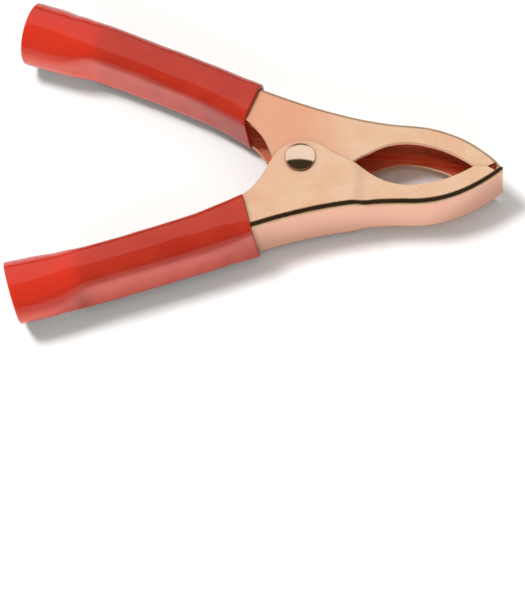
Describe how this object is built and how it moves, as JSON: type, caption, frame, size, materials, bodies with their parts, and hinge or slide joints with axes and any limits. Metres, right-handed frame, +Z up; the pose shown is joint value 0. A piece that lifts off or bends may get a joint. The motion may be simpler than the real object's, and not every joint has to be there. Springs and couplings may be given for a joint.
{
  "type": "battery alligator clip",
  "caption": "Stamped steel spring clip with two U-channel jaws on a rivet, curved nose lands that meet, and a plastic grip sleeve on each handle.",
  "frame": {"origin": "centre of the clip's outline as it lies on its side, on the surface it lies on", "axes": "+X from the handles to the jaw tips, +Y from the lower handle to the upper one, +Z up and parallel to the pivot axis"},
  "size_m": [0.1014, 0.0738, 0.0158],
  "materials": {
    "jaw_plating": "satin copper plating on steel",
    "rivet_plating": "bright copper plating on steel",
    "spring_wire": "drawn spring wire",
    "grip_sleeve": "glossy flexible PVC"
  },
  "bodies": {
    "lower_half": {"lower_jaw": "jaw_plating", "pivot_rivet": "rivet_plating", "torsion_spring": "spring_wire", "lower_handle_sleeve": "grip_sleeve"},
    "upper_half": {"upper_jaw": "jaw_plating", "upper_handle_sleeve": "grip_sleeve"}
  },
  "joints": [
    {"name": "jaw_hinge", "type": "hinge", "parent": "lower_half", "child": "upper_half", "pos_m": [0.00889, 0, 0.0078], "axis": [0, 0, 1], "range_deg": [0, 38], "stiffness_Nm_per_rad": 0.6, "springref_deg": -51.57, "deforming": ["torsion_spring"]}
  ]
}
